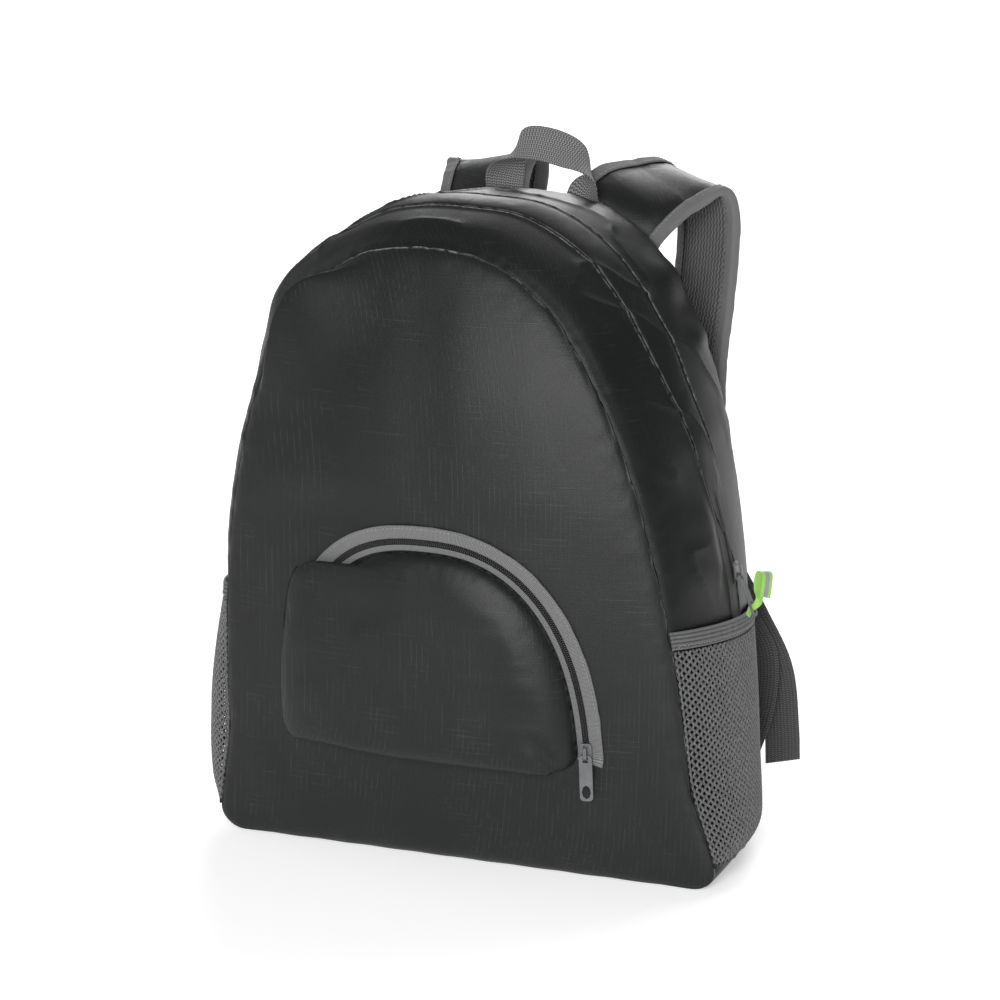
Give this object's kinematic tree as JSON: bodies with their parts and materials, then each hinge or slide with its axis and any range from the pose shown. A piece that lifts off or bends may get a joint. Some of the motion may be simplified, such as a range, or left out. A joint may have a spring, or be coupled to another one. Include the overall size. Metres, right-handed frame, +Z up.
{
  "type": "packable backpack",
  "caption": "Light fold-away backpack with an arched zipper, a D-shaped front pocket, net side pockets, webbing haul handle and adjustable shoulder straps.",
  "frame": {"origin": "middle of the base, on the surface that the bag stands on", "axes": "+Z up to the haul handle, -Y out of the front panel, +X to the right as the front is looked at"},
  "size_m": [0.3786, 0.2578, 0.4594],
  "materials": {
    "shell_cloth": "thin charcoal nylon with a fine grain and a satin sheen",
    "black_tape": "black zipper tape and coil",
    "grey_tape": "ribbed grey binding and zipper tape",
    "net": "grey knitted net",
    "webbing": "ribbed dark grey webbing",
    "painted_slider": "satin grey lacquer on cast metal",
    "green_ribbon": "bright green woven ribbon with a grey inner stripe",
    "lock_plastic": "black moulded plastic"
  },
  "bodies": {
    "bag": {"front_panel": "shell_cloth", "gusset_front": "shell_cloth", "gusset_rear": "shell_cloth", "gusset_base": "shell_cloth", "back_panel": "shell_cloth", "pocket_panel": "shell_cloth", "main_zip_tape": "black_tape", "main_zip_coil": "black_tape", "right_net": "net", "right_net_binding": "grey_tape", "left_net": "net", "left_net_binding": "grey_tape", "pocket_zip_inner_tape": "grey_tape", "pocket_zip_coil": "black_tape", "pocket_zip_outer_tape": "grey_tape", "pocket_slider": "painted_slider", "main_slider": "painted_slider", "haul_handle": "webbing", "right_strap_face": "shell_cloth", "right_strap_mesh": "net", "right_strap_left_binding": "grey_tape", "right_strap_right_binding": "grey_tape", "right_strap_lock": "lock_plastic", "right_strap_lock_loop": "webbing", "right_strap_webbing": "webbing", "left_strap_face": "shell_cloth", "left_strap_mesh": "net", "left_strap_left_binding": "grey_tape", "left_strap_right_binding": "grey_tape", "left_strap_lock": "lock_plastic", "left_strap_lock_loop": "webbing", "left_strap_webbing": "webbing"},
    "pocket_pull": {"pocket_puller": "painted_slider"},
    "main_pull": {"main_puller": "painted_slider", "pull_ribbon": "green_ribbon"}
  },
  "joints": [
    {"name": "pocket_puller_hinge", "type": "hinge", "parent": "bag", "child": "pocket_pull", "pos_m": [0.09239, -0.08487, 0.08659], "axis": [-0.9898, -0.1361, -0.041], "range_deg": [0, 130]},
    {"name": "main_puller_hinge", "type": "hinge", "parent": "bag", "child": "main_pull", "pos_m": [0.16009, 0.01232, 0.1885], "axis": [0.0727, -0.9973, 0.0118], "range_deg": [0, 110]}
  ]
}
